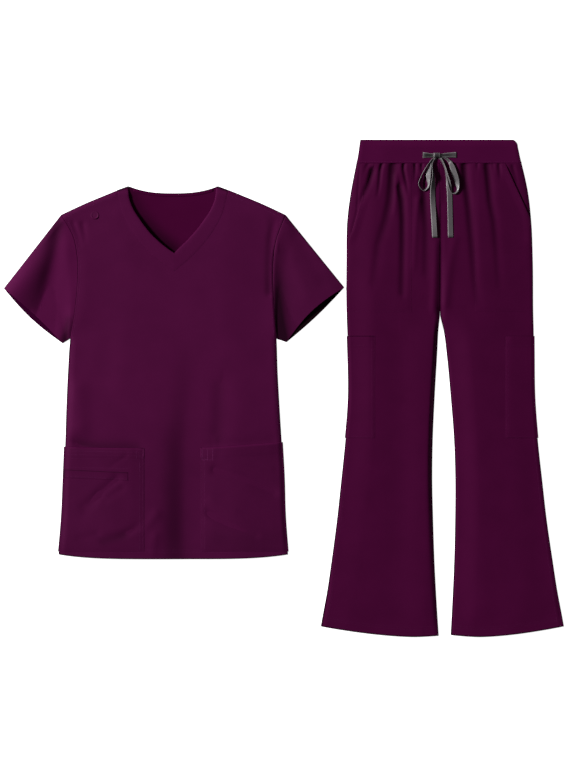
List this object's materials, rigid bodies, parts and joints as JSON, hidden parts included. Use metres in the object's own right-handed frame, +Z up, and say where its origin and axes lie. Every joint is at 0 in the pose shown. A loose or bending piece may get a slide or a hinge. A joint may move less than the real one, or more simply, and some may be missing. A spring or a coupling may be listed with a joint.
{
  "type": "medical scrubs laid flat",
  "caption": "Short-sleeved V-neck scrub top with patch pockets, laid flat beside flared scrub trousers with a gathered waist and a drawstring bow.",
  "frame": {"origin": "centre of the bounding box, on the surface that both garments lie on", "axes": "+Z up from the surface, +Y towards the neck and the waist, +X from the top towards the trousers"},
  "size_m": [1.0931, 0.9705, 0.0203],
  "materials": {
    "scrub_cloth": "matte woven stretch twill",
    "trim_cloth": "matte folded twill and rib",
    "tape": "satin woven tape",
    "snap": "dyed to match"
  },
  "bodies": {
    "root": {"top_front": "scrub_cloth", "top_back": "scrub_cloth", "sleeve_left": "scrub_cloth", "sleeve_right": "scrub_cloth", "pocket_left": "scrub_cloth", "pocket_right": "scrub_cloth", "leg_front_left": "scrub_cloth", "leg_front_right": "scrub_cloth", "leg_back_left": "scrub_cloth", "leg_back_right": "scrub_cloth", "hip_pocket_left": "scrub_cloth", "hip_pocket_right": "scrub_cloth", "cargo_pocket_left": "scrub_cloth", "cargo_pocket_right": "scrub_cloth", "neckband_left": "trim_cloth", "neckband_right": "trim_cloth", "neckband_back": "trim_cloth", "pocket_left_welt": "trim_cloth", "waistband": "trim_cloth", "bow_knot": "tape", "bow_lead_left": "tape", "bow_lead_right": "tape", "bow_loop_left": "tape", "bow_loop_right": "tape", "bow_tail_left": "tape", "bow_tail_right": "tape", "shoulder_snap": "snap"}
  },
  "joints": []
}
